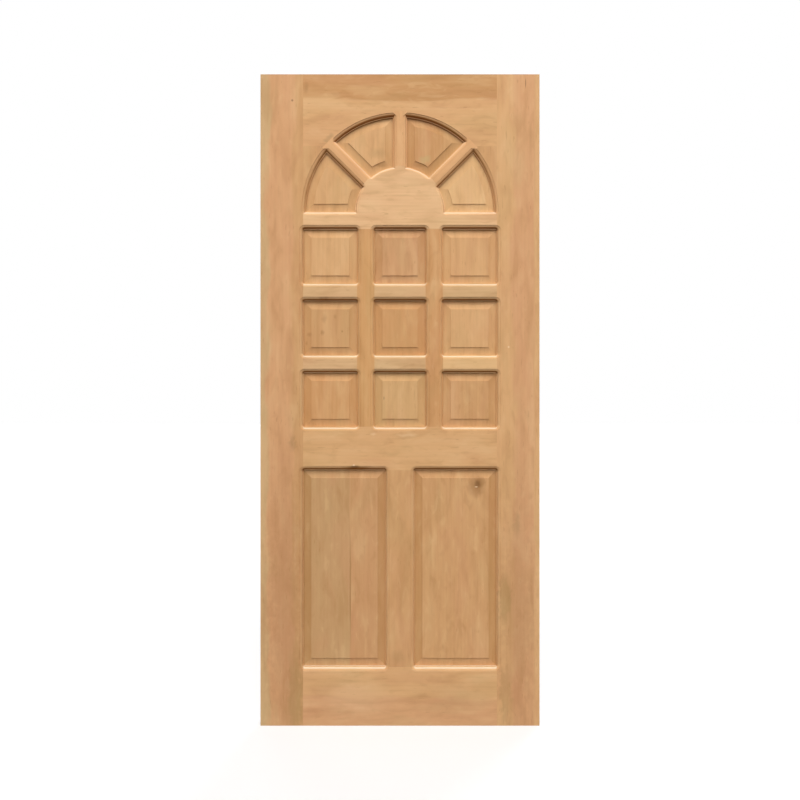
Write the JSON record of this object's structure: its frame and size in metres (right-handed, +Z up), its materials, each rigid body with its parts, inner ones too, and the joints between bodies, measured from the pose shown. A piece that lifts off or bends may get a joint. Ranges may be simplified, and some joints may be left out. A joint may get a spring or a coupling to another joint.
{
  "type": "solid wood door leaf",
  "caption": "Solid wood door leaf of stiles and rails with raised panels: tall lower panels, a grid of square panels and a half-round fan of panels under an arched top rail.",
  "frame": {"origin": "centre of the leaf's bottom edge, at the floor side, mid width and mid thickness", "axes": "+X across the width to the right seen from the front, -Y out of the front face, +Z up the height"},
  "size_m": [0.9, 0.044, 2.1],
  "materials": {
    "frame_wood": "sanded, unfinished",
    "panel_wood": "sanded, unfinished",
    "dowel_wood": "turned, unfinished"
  },
  "bodies": {
    "root": {"stile_left": "frame_wood", "stile_right": "frame_wood", "top_rail": "frame_wood", "haunch_left": "frame_wood", "haunch_right": "frame_wood", "hub_rail": "frame_wood", "spoke_left": "frame_wood", "spoke_centre": "frame_wood", "spoke_right": "frame_wood", "mullion_left": "frame_wood", "mullion_right": "frame_wood", "muntin_upper_left": "frame_wood", "muntin_upper_middle": "frame_wood", "muntin_upper_right": "frame_wood", "muntin_lower_left": "frame_wood", "muntin_lower_middle": "frame_wood", "muntin_lower_right": "frame_wood", "lock_rail": "frame_wood", "lower_mullion": "frame_wood", "bottom_rail": "frame_wood", "fan_panel_left": "panel_wood", "fan_panel_top_left": "panel_wood", "fan_panel_top_right": "panel_wood", "fan_panel_right": "panel_wood", "square_panel_upper_left": "panel_wood", "square_panel_upper_middle": "panel_wood", "square_panel_upper_right": "panel_wood", "square_panel_centre_left": "panel_wood", "square_panel_centre_middle": "panel_wood", "square_panel_centre_right": "panel_wood", "square_panel_lower_left": "panel_wood", "square_panel_lower_middle": "panel_wood", "square_panel_lower_right": "panel_wood", "lower_panel_left": "panel_wood", "lower_panel_right": "panel_wood", "rail_dowels": "dowel_wood", "bar_dowels": "dowel_wood"}
  },
  "joints": []
}
